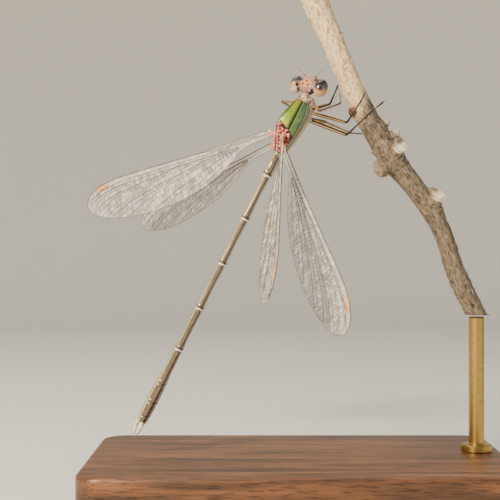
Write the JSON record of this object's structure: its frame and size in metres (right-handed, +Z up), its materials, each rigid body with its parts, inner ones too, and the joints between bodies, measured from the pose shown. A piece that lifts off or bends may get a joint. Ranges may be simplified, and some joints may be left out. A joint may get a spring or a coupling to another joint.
{
  "type": "damselfly display model",
  "caption": "Life-size still damselfly with half-open clear wings and a long slim tail, clinging to a cut twig held by a rod over a flat base.",
  "frame": {"origin": "centre of the underside of the stand's base", "axes": "+Z up, +X to the right as the picture sees it, towards the twig's foot, +Y away from the picture's camera"},
  "size_m": [0.0495, 0.038, 0.0573],
  "materials": {
    "thorax": "metallic green cuticle with gold and bronze stripes, satin",
    "abdomen": "bronze brown cuticle with a golden green line, satin",
    "head": "coppery brown cuticle, finely pitted",
    "eye": "compound eye, glossy, tan below and dark blue grey above",
    "leg": "tan cuticle with dark brown stripes",
    "wing": "clear membrane with dark brown veins",
    "cercus": "cream cuticle",
    "bark": "dry twig bark, rough",
    "stand_wood": "oiled hardwood, satin",
    "stand_rod": "brushed brass"
  },
  "bodies": {
    "root": {"head": "head", "eye_left": "eye", "eye_right": "eye", "antenna_left": "head", "antenna_right": "head", "prothorax": "head", "synthorax": "thorax", "abdomen_01": "abdomen", "abdomen_02": "abdomen", "abdomen_03": "abdomen", "abdomen_04": "abdomen", "abdomen_05": "abdomen", "abdomen_06": "abdomen", "abdomen_07": "abdomen", "abdomen_08": "abdomen", "abdomen_09": "abdomen", "abdomen_10": "abdomen", "cercus_left": "cercus", "cercus_right": "cercus", "forewing_left": "wing", "forewing_right": "wing", "hindwing_left": "wing", "hindwing_right": "wing", "leg_fore_left_femur": "leg", "leg_fore_left_tibia": "leg", "leg_fore_left_tarsus": "leg", "leg_fore_right_femur": "leg", "leg_fore_right_tibia": "leg", "leg_fore_right_tarsus": "leg", "leg_mid_left_femur": "leg", "leg_mid_left_tibia": "leg", "leg_mid_left_tarsus": "leg", "leg_mid_right_femur": "leg", "leg_mid_right_tibia": "leg", "leg_mid_right_tarsus": "leg", "leg_hind_left_femur": "leg", "leg_hind_left_tibia": "leg", "leg_hind_left_tarsus": "leg", "leg_hind_right_femur": "leg", "leg_hind_right_tibia": "leg", "leg_hind_right_tarsus": "leg", "perch_upper": "bark", "perch_lower": "bark", "stand_base": "stand_wood", "stand_rod": "stand_rod"}
  },
  "joints": []
}
